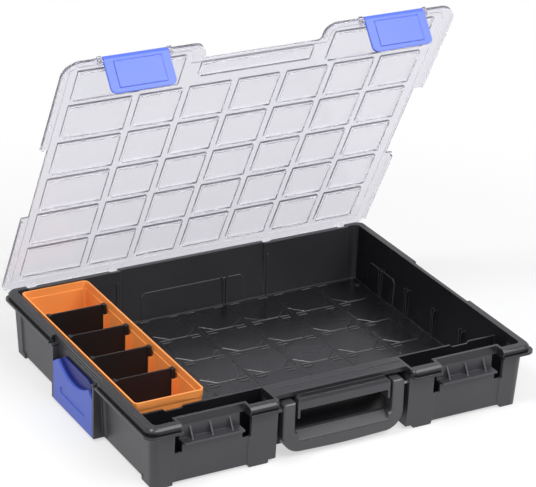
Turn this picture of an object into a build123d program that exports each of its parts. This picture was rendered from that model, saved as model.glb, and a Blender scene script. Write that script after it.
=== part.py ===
from build123d import *
import os
from math import atan, cos, degrees, radians, sin

# Assortment case: a moulded tub with a clear hinged lid, two snap latches, a drop handle,
# two sliding side clips, and a lift-out tray with loose dividers.
# Millimetres, +Z up. The front faces -Y, and +X is on the right of someone who faces it.
# Z is 0 under the feet. X and Y are 0 at the middle of the case as it stands open.

# Compartment grid of the floor and of the lid
module = 54.0
field_columns = 6
field_rows = 5
mid_share = 0.5
tray_column = 75.4
back_margin = 3.0
front_pocket = 43.0

# Tub walls and floor
wall = 2.5
floor_thickness = 2.5
tub_depth = 62.5
wall_lean = 3.0
wall_corner_radius = 5.0
foot_height = 3.5
foot_width = 21.0
foot_length = 24.0
foot_chamfer = 1.4
foot_inset = 8.0
underside_chamfer = 1.5
post_rise = 1.5
post_width = 15.0
panel_slope_deg = 45.0
panel_corner_radius = 12.0
panel_front_inset = 2.0
overrun = 5.0

# Partition between the compartment field and the front pockets
partition = 1.8
partition_drop = 11.5
partition_dip = 2.4
partition_dip_width = 22.0
partition_dip_places = (-160.0, 0.0, 160.0)

# Rim: a chamfered bead above a narrow neck and a thin flange
bead_width = 9.0
bead_height = 6.5
bead_chamfer = 2.2
rim_groove = 1.4
rim_groove_height = 0.9
back_bead_width = 7.0
rim_corner_radius = 10.0
rim_end_radius = 5.0
flange_reach = 3.0
flange_height = 2.5

# Floor pads, and the ribs and panels on the inside walls
floor_pad_gap = 5.0
floor_pad_chamfer = 14.0
floor_pad_rise = 0.8
floor_pad_slope_deg = 45.0
slot_rib = 1.1
slot_gap = 2.2
slot_rib_reach = 2.4
slot_rib_height = 28.0
slot_fork_height = 6.0
slot_fork_deg = 18.0
back_slot_line = 3
wall_panel_rise = 0.9
wall_panel_height = 31.0
wall_panel_chamfer = 4.0
back_panel_half_width = 61.0
side_panel_start = 26.0
side_panel_length = 54.0

# Handle recess in the front, with the ledge and the hooked lip above it
recess_side_gap = 6.0
recess_depth = 23.0
ledge_depth = 21.0
ledge_height = 5.0
ledge_groove_width = 2.4
ledge_groove_depth = 0.8
lip_side_gap = 3.0
lip_reach = 8.0
lip_step = 4.5
lip_thickness = 2.2
lip_drop = 12.5
lip_cheek_drop = 21.5
lip_corner_radius = 5.0

# Latches and the bays that they snap into
latch_mid = 141.5
latch_width = 68.0
latch_side_gap = 0.6
latch_lug = 4.0
latch_pin_radius = 1.5
latch_barrel_radius = 4.1
latch_barrel_gap = 1.0
latch_plate = 3.0
latch_length = 38.0
latch_corner_radius = 6.0
latch_panel_rise = 0.8
latch_panel_margin = 9.0
latch_panel_radius = 3.0
latch_hook = 2.2
latch_hook_gap = 0.5
latch_hook_bite = 1.8
latch_axis_setback = 3.0
latch_rest_swing_deg = 24.72
bay_side_gap = 2.0
bay_depth = 7.5
bay_slot_width = 9.0
bay_slot_drop = 34.5
catch_drop = 22.5
catch_reach = 4.0
catch_thickness = 2.0
gusset_count = 3
gusset_pitch = 21.0
gusset_height = 12.0
gusset_thickness = 1.5

# Lid hinge
hinge_behind_wall = 7.6
hinge_below_rim = 6.2
hinge_mid = 137.5
hinge_knuckle_spread = 46.5
hinge_knuckle_width = 10.0
hinge_lug_width = 5.0
hinge_barrel_radius = 4.2
hinge_gap = 0.5
hinge_pin_radius = 1.5
pin_clearance = 0.08

# Lid
rest_open_deg = 61.8
lid_gap = 0.5
lid_wall = 2.0
lid_pad_rise = 3.8
lid_pad_gap = 7.0
lid_pad_lean_deg = 8.0
lid_skin = 1.6
lid_field_rise = 1.0
lid_border = 9.5
lid_centre_border = 6.0
lid_back_overhang = 1.4
lid_back_radius = 9.0
lid_skirt = 2.0
lid_skirt_drop = 3.7
ear_overhang = 3.5
ear_gap_inset = 7.0
ear_gap_setback = 2.0
ear_outer_radius = 18.0
ear_inner_radius = 12.0
ear_root_radius = 4.0
ear_pad_inset = 5.0
ear_pad_front_margin = 13.0
band_pad_depth = 20.0
band_pad_gap = 11.0

# Carry handle
handle_half_width = 67.0
handle_arm = 13.0
handle_thickness = 12.0
handle_setback = 8.0
handle_bottom = 5.0
handle_grip_height = 21.0
handle_grip_depth = 15.0
handle_axis_drop = 16.0
handle_top_height = 8.0
handle_corner_radius = 20.0
handle_top_radius = 4.0
handle_inner_radius = 4.0
handle_edge_chamfer = 1.2
handle_bow = 2.2
handle_bow_radius = 600.0
handle_bevel_height = 6.5
handle_bevel_depth = 9.0
handle_line = 0.6
handle_line_drop = 2.4
handle_pin_radius = 1.6
handle_pin_seat = 10.0
handle_boss_radius = 5.0
handle_boss_length = 5.0

# Side clips
clip_mid_depth = 157.5
clip_length = 92.0
clip_bay_length = 109.0
clip_reach = 13.8
clip_thickness = 6.2
clip_bottom = 3.0
clip_height = 53.0
clip_gap = 0.5
clip_cheek = 3.0
clip_shoulder_length = 18.0
clip_shoulder_drop = 12.0
clip_scoop_drop = 17.0
clip_scoop_depth = 4.4
clip_scoop_radius = 62.0
clip_grip_length = 58.0
clip_grip_height = 7.0
clip_grip_depth = 0.8
clip_grip_level = 17.0
clip_grip_radius = 2.3
rail_spread = 30.0
rail_neck = 5.0
rail_head = 10.0
rail_head_thickness = 1.2
rail_head_inset = 1.3
rail_gap = 0.35
rail_bottom = 9.0
rail_height = 34.0
rim_bar_gap = 0.6
rim_bar_ridges = 3
rim_bar_groove = 1.4
rim_bar_groove_depth = 0.9
rim_bar_pitch = 3.2

# Lift-out tray and its dividers
tray_side_gap = 2.0
tray_back_gap = 2.9
tray_end_gap = 4.2
tray_top_gap = 1.5
tray_wall = 1.8
tray_lean = 1.6
tray_corner_radius = 5.0
tray_band_height = 8.0
tray_band_step = 0.7
tray_pillar = 2.0
tray_pillar_reach = 4.0
tray_pillar_drop = 13.0
divider_count = 4
divider_thickness = 1.6
divider_gap = 0.35
divider_top_drop = 2.0
divider_tab_length = 6.0
divider_tab_reach = 3.6

# Places worked out from the sizes above
inner_width = tray_column + field_columns * module
inner_depth = back_margin + field_rows * module + front_pocket
half_width = inner_width / 2
floor_z = foot_height + floor_thickness
rim_z = floor_z + tub_depth
flange_z = rim_z - bead_height - flange_height
lean_deg = degrees(atan(wall_lean / tub_depth))

hinge_z = rim_z - hinge_below_rim
lid_under_z = rim_z + lid_gap
lid_plate_z = lid_under_z + lid_wall
lid_top_z = lid_plate_z + lid_pad_rise
rest_open = radians(rest_open_deg)
lid_back_reach = lid_back_overhang * cos(rest_open) + (lid_plate_z - hinge_z) * sin(rest_open)
hinge_to_front = hinge_behind_wall + inner_depth + wall_lean + bead_width + flange_reach
hinge_y = (hinge_to_front - lid_back_reach) / 2

back_y = hinge_y - hinge_behind_wall
front_y = back_y - inner_depth
mid_y = (back_y + front_y) / 2
rim_back_y = back_y + wall_lean
rim_front_y = front_y - wall_lean
field_back_y = back_y - back_margin
field_front_y = field_back_y - field_rows * module
flange_front_y = rim_front_y - bead_width - flange_reach
flange_half_width = half_width + wall_lean + bead_width + flange_reach
front_face_y = rim_front_y - wall

recess_half_width = handle_half_width + recess_side_gap
lip_half_width = handle_half_width - handle_arm - lip_side_gap
ear_gap_half = recess_half_width - ear_gap_inset
ear_pad_inner = recess_half_width + ear_pad_inset
recess_wall_y = front_y + recess_depth
recess_face_y = recess_wall_y - wall
ledge_front_y = recess_wall_y - ledge_depth
bay_half = latch_width / 2 + bay_side_gap
lug_inner = latch_width / 2 + latch_side_gap
lug_outer = lug_inner + latch_lug
bay_face_y = front_face_y + bay_depth
catch_z = rim_z - catch_drop
bay_slot_z = rim_z - bay_slot_drop
catch_front_y = front_face_y - catch_reach

ear_front_y = flange_front_y - ear_overhang
lid_centre_front_y = ledge_front_y + ear_gap_setback
latch_axis_y = ear_front_y + latch_axis_setback
latch_axis_z = lid_under_z
handle_front_y = flange_front_y + handle_setback
handle_axis_y = handle_front_y + handle_thickness / 2
handle_axis_z = rim_z - handle_axis_drop

clip_mid_y = field_back_y - clip_mid_depth
clip_face_x = half_width + clip_reach
clip_back_x = clip_face_x - clip_thickness
rim_bar_x = clip_back_x - rim_bar_gap


def block(x0, x1, y0, y1, z0, z1):
    """A box between two corners."""
    place = Pos((x0 + x1) / 2, (y0 + y1) / 2, (z0 + z1) / 2)
    return place * Box(abs(x1 - x0), abs(y1 - y0), abs(z1 - z0))


def rod(radius, x0, x1, y, z):
    """A round bar along X."""
    return Pos((x0 + x1) / 2, y, z) * Rot(0, 90, 0) * Cylinder(radius, abs(x1 - x0))


def both_sides(solids):
    """Solids and their mirror images across the middle of the case."""
    return solids + [mirror(solid, about=Plane.YZ) for solid in solids]


def leaning_block(grow, low, high):
    """The tub's rounded outline, grown outwards and leaning like the walls, between two heights."""
    out = grow + wall_lean * (low - floor_z) / tub_depth
    outline = Rectangle(inner_width + 2 * out, inner_depth + 2 * out)
    solid = extrude(outline, amount=high - low, taper=-lean_deg)
    solid = fillet(solid.edges().group_by(Axis.Z)[1], wall_corner_radius + grow)
    return Pos(0, mid_y, low) * solid


def rim_plate(reach, low, high):
    """A plate reaching out from the rim's inner edge, narrower at the back and parted at the handle."""
    back = rim_back_y + back_bead_width
    front = rim_front_y - reach
    width = 2 * (half_width + wall_lean + reach)
    outline = Pos(0, (back + front) / 2) * RectangleRounded(width, back - front, rim_corner_radius)
    gap_depth = recess_face_y - front
    outline -= Pos(0, front + gap_depth / 2) * Rectangle(2 * recess_half_width, gap_depth)
    ends = outline.vertices().group_by(Axis.Y)[0].filter_by_position(
        Axis.X, -recess_half_width - overrun, recess_half_width + overrun
    )
    return Pos(0, 0, low) * extrude(fillet(ends, rim_end_radius), amount=high - low)


def bay_x(offset):
    """The inner and outer sides of a latch bay, grown by an offset."""
    return latch_mid - bay_half - offset, latch_mid + bay_half + offset


def knuckle_spans():
    """Where the lid's two knuckles stand along one hinge."""
    half = hinge_knuckle_width / 2
    near = hinge_mid - hinge_knuckle_spread
    far = hinge_mid + hinge_knuckle_spread
    return [(near - half, near + half), (far - half, far + half)]


def hinge_zone():
    """The stretch of the back rim that one hinge takes."""
    spans = knuckle_spans()
    return spans[0][0] - hinge_gap, spans[1][1] + hinge_gap


def tub_space():
    """What is hollow inside the tub: the walls stand in around the recess, the bays and the hinges."""
    space = leaning_block(0, floor_z, rim_z + overrun)
    far_y = flange_front_y - overrun
    top = rim_z + 2 * overrun
    recess = block(
        -recess_half_width - wall, recess_half_width + wall, far_y, recess_wall_y, 0, top
    )
    inner, outer = bay_x(wall)
    kept = [block(inner, outer, far_y, bay_face_y + wall, catch_z - wall, top)]
    near, far = hinge_zone()
    kept.append(block(near, far, back_y, rim_back_y + overrun, 0, top))
    boss = handle_boss_radius
    boss_end = recess_half_width + wall + handle_boss_length
    kept.append(block(recess_half_width, boss_end, far_y, handle_axis_y + boss,
                      handle_axis_z - boss, handle_axis_z + boss))
    return space - ([recess] + both_sides(kept))


def hinge_barrel():
    """The tub's barrel between the right hinge's knuckles, on a web from the back wall."""
    (_, start), (end, _) = knuckle_spans()
    near = start + hinge_gap
    far = end - hinge_gap
    low = hinge_z - hinge_barrel_radius
    high = hinge_z + hinge_barrel_radius
    web = block(near, far, back_y, hinge_y, low, high)
    return web + rod(hinge_barrel_radius, near, far, hinge_y, hinge_z)


def hinge_clearances():
    """Cuts that free the hinge from the rim, and seats for the lid's knuckles."""
    near, far = hinge_zone()
    behind = rim_back_y + back_bead_width + overrun
    low = hinge_z - hinge_barrel_radius - hinge_gap
    cuts = [block(near, far, rim_back_y + wall, behind, low, rim_z + overrun)]
    for start, end in knuckle_spans():
        seat_y = hinge_y - hinge_barrel_radius - hinge_gap
        cuts.append(block(start - hinge_gap, end + hinge_gap, seat_y, behind, low, rim_z + overrun))
    return cuts


def clip_guides():
    """Cheeks at both ends of the right side clip, and the two rails that it slides on."""
    half = clip_length / 2 + clip_gap
    solids = []
    for way in (-1, 1):
        inner = clip_mid_y + way * half
        outer = inner + way * clip_cheek
        solids.append(block(half_width, clip_face_x, inner, outer, clip_bottom, flange_z + flange_height))
    top = rail_bottom + rail_height
    head_x = clip_back_x + rail_head_inset
    for way in (-1, 1):
        y = clip_mid_y + way * rail_spread
        neck = rail_neck / 2
        head = rail_head / 2
        solids.append(block(half_width, head_x, y - neck, y + neck, rail_bottom, top))
        solids.append(block(head_x, head_x + rail_head_thickness, y - head, y + head, rail_bottom, top))
    return solids


def clip_bay_cuts():
    """The gap in the right rim above the side clip, with grooves along the bar that is left."""
    half = clip_bay_length / 2
    y0 = clip_mid_y - half
    y1 = clip_mid_y + half
    far_x = flange_half_width + overrun
    cuts = [block(rim_bar_x, far_x, y0, y1, flange_z + flange_height, rim_z + overrun)]
    inner = clip_length / 2 + clip_gap
    outer = inner + clip_cheek
    for near, far in ((-half, -outer), (-inner, inner), (outer, half)):
        cuts.append(block(rim_bar_x, far_x, clip_mid_y + near, clip_mid_y + far, flange_z - overrun, rim_z))
    for step in range(rim_bar_ridges):
        z = rim_z - rim_bar_pitch * (step + 1)
        cuts.append(block(rim_bar_x - rim_bar_groove_depth, far_x, y0, y1, z, z + rim_bar_groove))
    return cuts


def bay_cuts():
    """The right latch bay: a recess through the rim, with a window into the pocket at each end."""
    far_y = flange_front_y - overrun
    inner, outer = bay_x(0)
    cuts = [block(inner, outer, far_y, bay_face_y, catch_z, rim_z + overrun)]
    half = bay_slot_width / 2
    for side in (inner, outer):
        cuts.append(block(side - half, side + half, far_y, bay_face_y + overrun, bay_slot_z, flange_z))
    return cuts


def bay_catch():
    """The right bay's catch bar, and the gussets that stiffen the wall above it."""
    inner, outer = bay_x(-bay_slot_width / 2)
    solids = [block(inner, outer, catch_front_y, bay_face_y, catch_z - catch_thickness, catch_z)]
    profile = Polyline(
        (bay_face_y, catch_z), (front_face_y, catch_z), (bay_face_y, catch_z + gusset_height), close=True
    )
    gusset = extrude(Plane.YZ * make_face(profile), amount=gusset_thickness / 2, both=True)
    for step in range(gusset_count):
        solids.append(Pos(latch_mid + (step - (gusset_count - 1) / 2) * gusset_pitch, 0, 0) * gusset)
    return solids


def recess_ledge():
    """The ledge over the handle recess, grooved along its top, and the hood that hangs from it."""
    side = recess_half_width + wall
    ledge = block(-side, side, ledge_front_y, recess_wall_y, rim_z - ledge_height, rim_z)
    groove_y = ledge_front_y + ledge_depth / 2
    groove = block(-side, side, groove_y, groove_y + ledge_groove_width, rim_z - ledge_groove_depth,
                   rim_z + overrun)
    lip_front = ledge_front_y - lip_reach
    lip_top = rim_z - lip_step
    low = lip_top - lip_cheek_drop
    hood = block(-lip_half_width, lip_half_width, lip_front, recess_wall_y, low, lip_top)
    hood = fillet(hood.edges().filter_by(Axis.Y).group_by(Axis.Z)[-1], lip_corner_radius)
    inner = lip_half_width - lip_thickness
    below = low - overrun
    hollow = block(-inner, inner, lip_front + lip_thickness, recess_wall_y + overrun, below,
                   lip_top - lip_thickness)
    mouth = block(-inner, inner, lip_front - overrun, recess_wall_y, below, lip_top - lip_drop)
    hollow = fillet((hollow + mouth).edges().filter_by(Axis.Y).group_by(Axis.Z)[-1],
                    lip_corner_radius - lip_thickness)
    return (ledge - groove) + (hood - hollow)


def feet():
    """Feet under the corner posts, and a pair beside the handle recess, flush with the walls above them."""
    skirt = leaning_block(wall + post_rise, 0, floor_z)
    edge_x = half_width + wall + post_rise
    front = front_y - wall - post_rise
    back = back_y + wall + post_rise
    top = floor_z
    inner_x = recess_half_width + foot_inset
    places = [
        block(edge_x - foot_width, edge_x, front, front + foot_length, 0, top),
        block(edge_x - foot_width, edge_x, back - foot_length, back, 0, top),
        block(inner_x, inner_x + foot_width, front, front + foot_length, 0, top),
    ]
    places = [chamfer(place.edges().group_by(Axis.Z)[0], foot_chamfer) for place in places]
    return both_sides([skirt & place for place in places])


def floor_pads():
    """The floor's octagonal pads, one to a compartment of the grid."""
    solids = []
    side = module - floor_pad_gap
    plate = chamfer(Rectangle(side, side).vertices(), floor_pad_chamfer)
    pad = extrude(plate, amount=floor_pad_rise, taper=floor_pad_slope_deg)
    for step in range(field_columns):
        x = half_width - (step + mid_share) * module
        for row in range(field_rows):
            solids.append(Pos(x, field_back_y - (row + mid_share) * module, floor_z) * pad)
    return solids


def forked_rib(reach_in, reach_out):
    """A slot for a loose divider: two thin ribs with splayed tips, standing on the floor along local X."""
    solids = []
    half = slot_rib / 2
    for way in (-1, 1):
        y = way * (slot_gap + slot_rib) / 2
        solids.append(block(-reach_in, reach_out, y - half, y + half, 0, slot_rib_height))
        tip = block(-reach_in, reach_out, -half, half, -half, slot_fork_height)
        solids.append(Pos(0, y, slot_rib_height) * Rot(-way * slot_fork_deg, 0, 0) * tip)
    return solids


def make_partition(low):
    """The partition before the front pockets, with shallow dips along its top."""
    far = half_width + wall
    top = rim_z - partition_drop
    divide = block(-far, far, field_front_y - partition, field_front_y, low, top)
    half = partition_dip_width / 2
    line = Polyline(
        (-half, top), (partition_dip - half, top - partition_dip),
        (half - partition_dip, top - partition_dip), (half, top), close=True
    )
    dip = extrude(Plane.XZ * make_face(line), amount=overrun, both=True)
    return divide - [Pos(x, field_front_y, 0) * dip for x in partition_dip_places]


def wall_details():
    """Forked ribs and raised panels on the right and back walls, and the partition before the pockets."""
    low = floor_z - floor_thickness / 2
    rib = forked_rib(slot_rib_reach, wall)
    solids = []
    for row in range(1, field_rows):
        solids += [Pos(half_width, field_back_y - row * module, low) * bar for bar in rib]
    back_rib = Pos(half_width - back_slot_line * module, back_y, low) * Rot(0, 0, 90)
    solids += [back_rib * bar for bar in rib]
    panel_top = floor_z + wall_panel_height
    back = block(-back_panel_half_width, back_panel_half_width, back_y, back_y + wall, low, panel_top)
    back = chamfer(back.edges().filter_by(Axis.Y).group_by(Axis.Z)[-1], wall_panel_chamfer)
    y = field_back_y - side_panel_start
    side = block(half_width, half_width + wall, y - side_panel_length, y, low, panel_top)
    side = chamfer(side.edges().filter_by(Axis.X).group_by(Axis.Z)[-1], wall_panel_chamfer)
    lean = Rot(-lean_deg, 0, 0)
    solids.append(Pos(0, back_y - wall_panel_rise, floor_z) * lean * Pos(0, -back_y, -floor_z) * back)
    tilt = Rot(0, lean_deg, 0)
    solids.append(Pos(half_width - wall_panel_rise, 0, floor_z) * tilt
                  * Pos(-half_width, 0, -floor_z) * side)
    solids.append(make_partition(low))
    inside = leaning_block(wall / 2, low, rim_z)
    return [solid & inside for solid in solids]


def panel_tool(width, height, radius):
    """Cutter for a shallow wall panel with sloping sides: X along the wall, Y inwards, open at the foot."""
    outline = Pos(0, (height - overrun) / 2) * Rectangle(width, height + overrun)
    if radius:
        outline = fillet(outline.vertices().group_by(Axis.Y)[-1], radius)
    sunk = extrude(outline, amount=post_rise, taper=panel_slope_deg)
    tool = sunk + extrude(outline, amount=-overrun)
    return Rot(-90, 0, 0) * mirror(tool, about=Plane.XZ)


def panel_cuts():
    """Shallow panels moulded into the front and side walls between the posts."""
    inner, outer = bay_x(bay_slot_width / 2 - panel_front_inset)
    front = panel_tool(outer - inner, catch_z - catch_thickness - floor_z, 0)
    face_y = front_y - wall - post_rise
    cuts = [Pos((inner + outer) / 2, face_y, floor_z) * Rot(lean_deg, 0, 0) * front]
    face_x = half_width + wall + post_rise
    side_height = tub_depth - bead_height - flange_height - panel_front_inset
    bay = clip_bay_length / 2
    ends = [(clip_mid_y + bay, back_y - post_width), (front_y + post_width, clip_mid_y - bay)]
    for y0, y1 in ends:
        place = Pos(face_x, (y0 + y1) / 2, floor_z) * Rot(0, lean_deg, 0) * Rot(0, 0, 90)
        cuts.append(place * panel_tool(y1 - y0, side_height, panel_corner_radius))
    return both_sides(cuts)


def tub_bores():
    """Bores for the hinge pins and the handle pins."""
    near, far = hinge_zone()
    hinge = rod(hinge_pin_radius + pin_clearance, near, far, hinge_y, hinge_z)
    seat_end = recess_half_width + handle_boss_length
    bore_radius = handle_pin_radius + pin_clearance
    handle = rod(bore_radius, handle_half_width, seat_end, handle_axis_y, handle_axis_z)
    return both_sides([hinge, handle])


def make_tub():
    body = leaning_block(wall + post_rise, foot_height, rim_z)
    body = chamfer(body.edges().group_by(Axis.Z)[0], underside_chamfer)
    neck_z = flange_z + flange_height
    bead = rim_plate(bead_width, neck_z + rim_groove_height, rim_z)
    bead = chamfer(bead.edges().group_by(Axis.Z)[-1], bead_chamfer)
    neck = rim_plate(bead_width - rim_groove, neck_z, neck_z + rim_groove_height)
    flange = rim_plate(bead_width + flange_reach, flange_z, neck_z)
    body = body - panel_cuts()
    body = body + [bead, neck, flange]
    body = body - both_sides(clip_bay_cuts())
    body = body + both_sides(clip_guides())
    body = body - tub_space()
    recess = block(-recess_half_width, recess_half_width, flange_front_y - overrun, recess_face_y,
                   -overrun, rim_z + overrun)
    body = body - ([recess] + both_sides(bay_cuts() + hinge_clearances()))
    body = body + (both_sides(bay_catch() + [hinge_barrel()]) + [recess_ledge()])
    body = body + (feet() + floor_pads() + wall_details())
    return body - tub_bores()


def lid_outline():
    """The lid seen from above: ears at the front, a gap between them, and a notch in each side."""
    half = flange_half_width
    right = [
        ((half, hinge_y + lid_back_overhang), lid_back_radius),
        ((half, ear_front_y), ear_outer_radius),
        ((ear_gap_half, ear_front_y), ear_inner_radius),
        ((ear_gap_half, lid_centre_front_y), ear_root_radius),
    ]
    left = [((-x, y), radius) for (x, y), radius in reversed(right)]
    corners = right + left
    line = FilletPolyline(*[p for p, _ in corners], radius=[r for _, r in corners], close=True)
    depth = half - rim_bar_x
    notch = Pos(half - depth / 2, clip_mid_y) * Rectangle(depth, clip_bay_length - 2 * clip_cheek)
    return make_face(line) - both_sides([notch])


def lid_field():
    """The lid's field, a little thicker than the plain border around it."""
    half = flange_half_width - lid_border
    front = lid_centre_front_y + lid_centre_border
    high = lid_plate_z + lid_field_rise
    field = block(-half, half, front, hinge_y - lid_border, lid_under_z, high)
    ear = block(ear_gap_half + lid_border, half, ear_front_y + lid_border, front, lid_under_z, high)
    ear = fillet(ear.edges().filter_by(Axis.Z).group_by(Axis.Y)[0], ear_outer_radius - lid_border)
    return [field] + both_sides([ear])


def lid_pads(inset, low, high):
    """One leaning block to each cell of the lid, drawn in by an inset, between two heights."""
    columns = [(half_width - (step + mid_share) * module, module) for step in range(field_columns)]
    columns.append((tray_column / 2 - half_width, tray_column))
    cells = []
    for x, width in columns:
        for row in range(field_rows):
            cells.append((x, field_back_y - (row + mid_share) * module, width, module))
    ear_depth = field_front_y - ear_front_y - ear_pad_front_margin
    ear_width = half_width - ear_pad_inner
    for way in (-1, 1):
        x = way * (half_width + ear_pad_inner) / 2
        cells.append((x, field_front_y - ear_depth / 2, ear_width, ear_depth))
    band_y = field_front_y - band_pad_gap - band_pad_depth / 2
    cells.append((0, band_y, 2 * ear_gap_half, band_pad_depth + lid_pad_gap))
    shrink = lid_pad_gap + 2 * inset
    solids = []
    for x, y, width, depth in cells:
        plate = Rectangle(width - shrink, depth - shrink)
        solids.append(Pos(x, y, low) * extrude(plate, amount=high - low, taper=lid_pad_lean_deg))
    return solids


def lid_skirt_ring():
    """The skirt under the lid's edge, left off at the back, the side notches and the handle gap."""
    outline = lid_outline()
    ring = outline - offset(outline, -lid_skirt)
    low = lid_under_z - lid_skirt_drop
    skirt = Pos(0, 0, low) * extrude(ring, amount=lid_skirt_drop + lid_wall)
    far = flange_half_width + overrun
    below = low - overrun
    gaps = [block(-far, far, hinge_y - lid_back_radius, hinge_y + overrun, below, lid_under_z)]
    gaps.append(block(-ear_gap_half - lid_skirt, ear_gap_half + lid_skirt, ledge_front_y - lid_skirt,
                      mid_y, below, lid_under_z))
    half = clip_bay_length / 2
    inner = rim_bar_x - lid_skirt - lid_gap
    sides = [block(inner, far, clip_mid_y - half, clip_mid_y + half, below, lid_under_z)]
    return skirt - (gaps + both_sides(sides))


def lid_knuckles():
    """The right hinge's knuckles, each a barrel on a web from the plate, and a small lug between."""
    front = hinge_y - hinge_barrel_radius + lid_gap
    back = hinge_y + lid_back_overhang
    lug = hinge_lug_width / 2
    lug_front = rim_back_y + wall + hinge_gap
    lug_low = hinge_z + hinge_barrel_radius + hinge_gap
    solids = [block(hinge_mid - lug, hinge_mid + lug, lug_front, back, lug_low, lid_plate_z)]
    for start, end in knuckle_spans():
        solids.append(rod(hinge_barrel_radius, start, end, hinge_y, hinge_z))
        solids.append(block(start, end, front, back, hinge_z, lid_plate_z))
    return solids


def latch_lugs():
    """The lugs in the right ear that carry the latch's pin."""
    low = lid_under_z - lid_skirt_drop
    high = latch_axis_z + latch_barrel_radius
    back = rim_front_y - bead_width - lid_gap
    solids = []
    for way in (-1, 1):
        x = latch_mid + way * lug_inner
        solids.append(block(x, x + way * latch_lug, ear_front_y, back, low, high))
    return solids


def open_lid(solid):
    """Turn a solid from the shut lid's place to where it stands open."""
    return solid.rotate(Axis((0, hinge_y, hinge_z), (1, 0, 0)), -rest_open_deg)


def make_lid():
    plate = Pos(0, 0, lid_under_z) * extrude(lid_outline(), amount=lid_wall)
    notch_back = latch_axis_y + latch_barrel_radius + latch_barrel_gap
    notch = block(latch_mid - lug_inner, latch_mid + lug_inner, ear_front_y - overrun, notch_back,
                  lid_under_z - lid_skirt_drop - overrun, lid_top_z)
    lid = plate + ([lid_skirt_ring()] + lid_field() + lid_pads(0, lid_under_z, lid_top_z))
    lid = lid - lid_pads(lid_skin, lid_under_z, lid_top_z - lid_wall)
    lid = lid - both_sides([notch])
    lid = lid + both_sides(lid_knuckles() + latch_lugs())
    near, far = hinge_zone()
    bores = [rod(hinge_pin_radius + pin_clearance, near, far, hinge_y, hinge_z)]
    bores.append(rod(latch_pin_radius + pin_clearance, latch_mid - lug_outer, latch_mid + lug_outer,
                     latch_axis_y, latch_axis_z))
    return open_lid(lid - both_sides(bores))


def make_latch(mid):
    """A latch, hooked on its catch and then swung to where it hangs from the open lid."""
    left = mid - latch_width / 2
    right = mid + latch_width / 2
    face_y = latch_axis_y - latch_barrel_radius
    inside_y = face_y + latch_plate
    low = latch_axis_z + latch_barrel_radius - latch_length
    plate = block(left, right, face_y, inside_y, low, latch_axis_z)
    plate = fillet(plate.edges().filter_by(Axis.Y).group_by(Axis.Z)[0], latch_corner_radius)
    panel_low = low + latch_panel_margin / 2
    panel = block(left + latch_panel_margin, right - latch_panel_margin, face_y - latch_panel_rise, face_y,
                  panel_low, latch_axis_z - latch_panel_radius)
    panel = chamfer(panel.faces().sort_by(Axis.Y)[0].edges(), latch_panel_rise / 2)
    hook_top = catch_z - catch_thickness - latch_hook_gap
    hook = block(left + latch_panel_margin, right - latch_panel_margin, inside_y,
                 catch_front_y + latch_hook_bite, hook_top - latch_hook, hook_top)
    barrel = rod(latch_barrel_radius, left, right, latch_axis_y, latch_axis_z)
    latch = plate + [panel, hook, barrel]
    latch = latch - rod(latch_pin_radius + pin_clearance, left, right, latch_axis_y, latch_axis_z)
    axis = Axis((0, latch_axis_y, latch_axis_z), (1, 0, 0))
    return open_lid(latch.rotate(axis, latch_rest_swing_deg))


def handle_outline(grip_top):
    """The bail seen from the front: two arms and a bar with a bowed underside."""
    top = handle_axis_z + handle_top_height
    half = handle_half_width
    foot = handle_bottom + handle_bow
    right = [((half, top), handle_top_radius), ((half, foot), handle_corner_radius)]
    left = [((-x, z), radius) for (x, z), radius in reversed(right)]
    corners = right + [((0, handle_bottom), handle_bow_radius)] + left
    line = FilletPolyline(*[p for p, _ in corners], radius=[r for _, r in corners], close=True)
    gap_height = top - grip_top + overrun
    gap = Pos(0, grip_top + gap_height / 2) * Rectangle(2 * (half - handle_arm), gap_height)
    return make_face(line) - fillet(gap.vertices().group_by(Axis.Y)[0], handle_inner_radius)


def make_handle():
    """The bail, deeper at its bar, which is bevelled along its top and has a fine line across its front."""
    grip_top = handle_bottom + handle_grip_height
    back = handle_front_y + handle_thickness
    bail = Pos(0, back, 0) * extrude(Plane.XZ * handle_outline(grip_top), amount=handle_thickness)
    bail = chamfer(bail.faces().sort_by(Axis.Y)[0].edges(), handle_edge_chamfer)
    inner = handle_half_width - handle_arm
    grip = block(-inner, inner, back, handle_front_y + handle_grip_depth,
                 handle_bottom + 2 * handle_bow, grip_top - handle_edge_chamfer)
    front = handle_front_y - overrun
    bevel = Polyline(
        (front, grip_top + overrun), (front, grip_top - handle_bevel_height),
        (handle_front_y, grip_top - handle_bevel_height),
        (handle_front_y + handle_bevel_depth, grip_top),
        (handle_front_y + handle_bevel_depth, grip_top + overrun), close=True
    )
    reach = inner - handle_inner_radius
    wedge = extrude(Plane.YZ * make_face(bevel), amount=reach, both=True)
    line_z = grip_top - handle_bevel_height - handle_line_drop
    line = block(-reach, reach, front, handle_front_y + handle_line, line_z, line_z + handle_line)
    bore = rod(handle_pin_radius + pin_clearance, handle_half_width - handle_pin_seat,
               handle_half_width + overrun, handle_axis_y, handle_axis_z)
    return bail + grip - ([wedge, line] + both_sides([bore]))


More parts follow.
